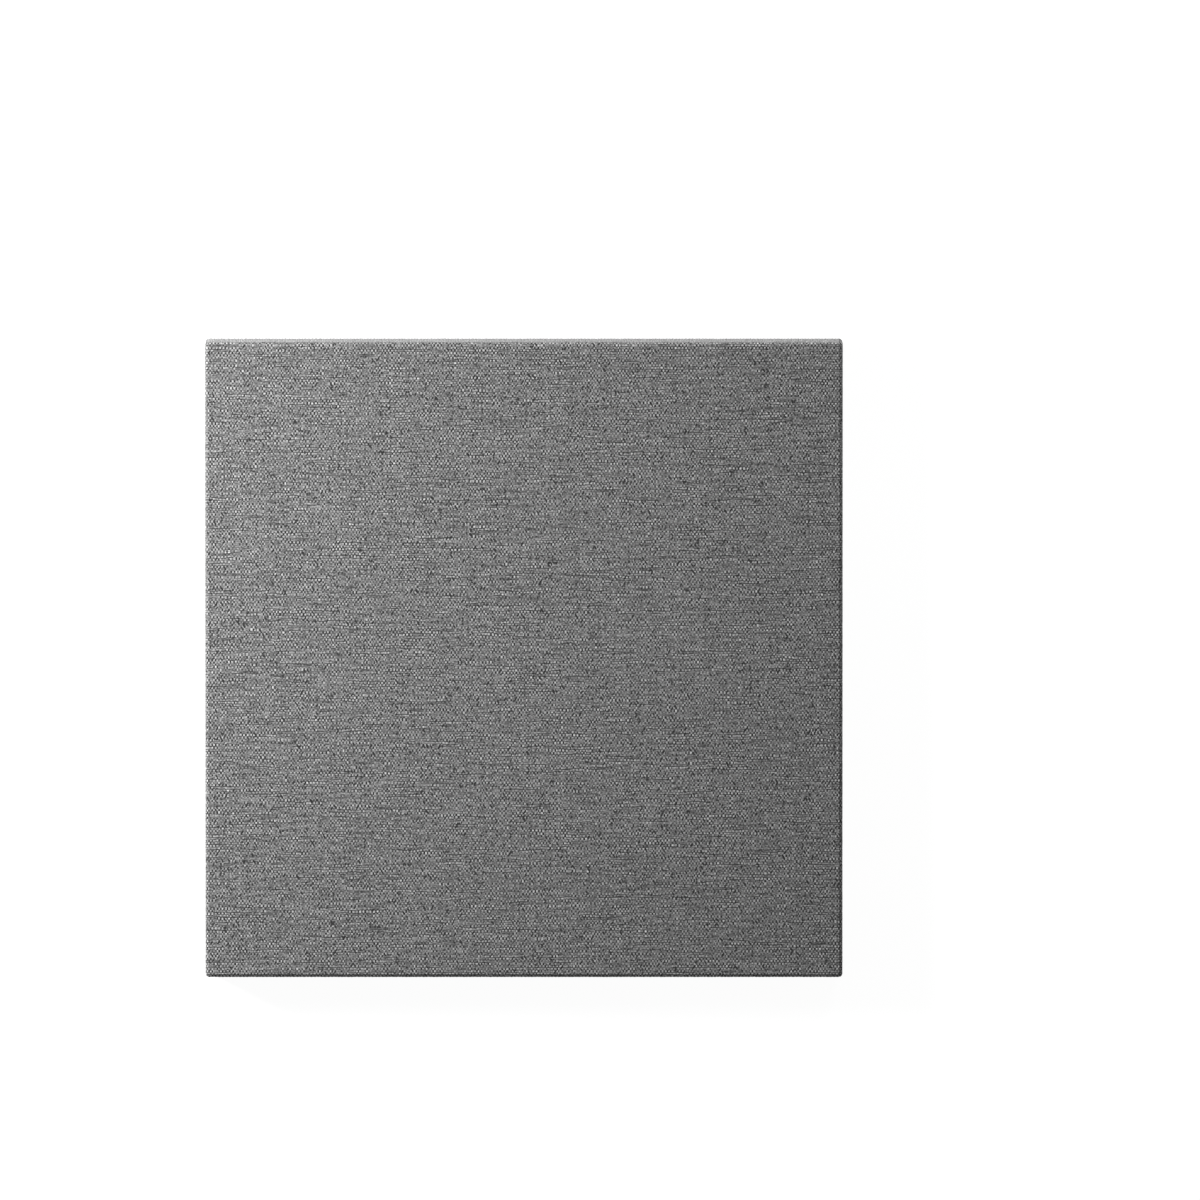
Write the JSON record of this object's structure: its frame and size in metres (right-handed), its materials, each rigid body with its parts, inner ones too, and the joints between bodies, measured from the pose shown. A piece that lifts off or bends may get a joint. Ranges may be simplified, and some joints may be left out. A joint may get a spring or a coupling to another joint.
{
  "type": "fabric acoustic wall panel",
  "caption": "Square sound-absorbing wall panel: a rigid glass wool board wrapped in grey woven cloth, with a black backing sheet and small steel hanging plates on its back.",
  "frame": {"origin": "middle of the panel's back, in the plane of the hanging plates' outer faces", "axes": "+Z out of the cloth face, +Y towards the panel's top edge, +X to its right edge seen from the front"},
  "size_m": [0.61, 0.61, 0.0542],
  "materials": {
    "glass_wool": "matte",
    "woven_cloth": "matte",
    "black_backing": "matte",
    "plate_steel": "satin"
  },
  "bodies": {
    "root": {"core_board": "glass_wool", "fabric_cover": "woven_cloth", "backing_sheet": "black_backing", "hanging_plate_bottom_left": "plate_steel", "hanging_plate_bottom_right": "plate_steel", "hanging_plate_top_left": "plate_steel", "hanging_plate_top_right": "plate_steel"}
  },
  "joints": []
}
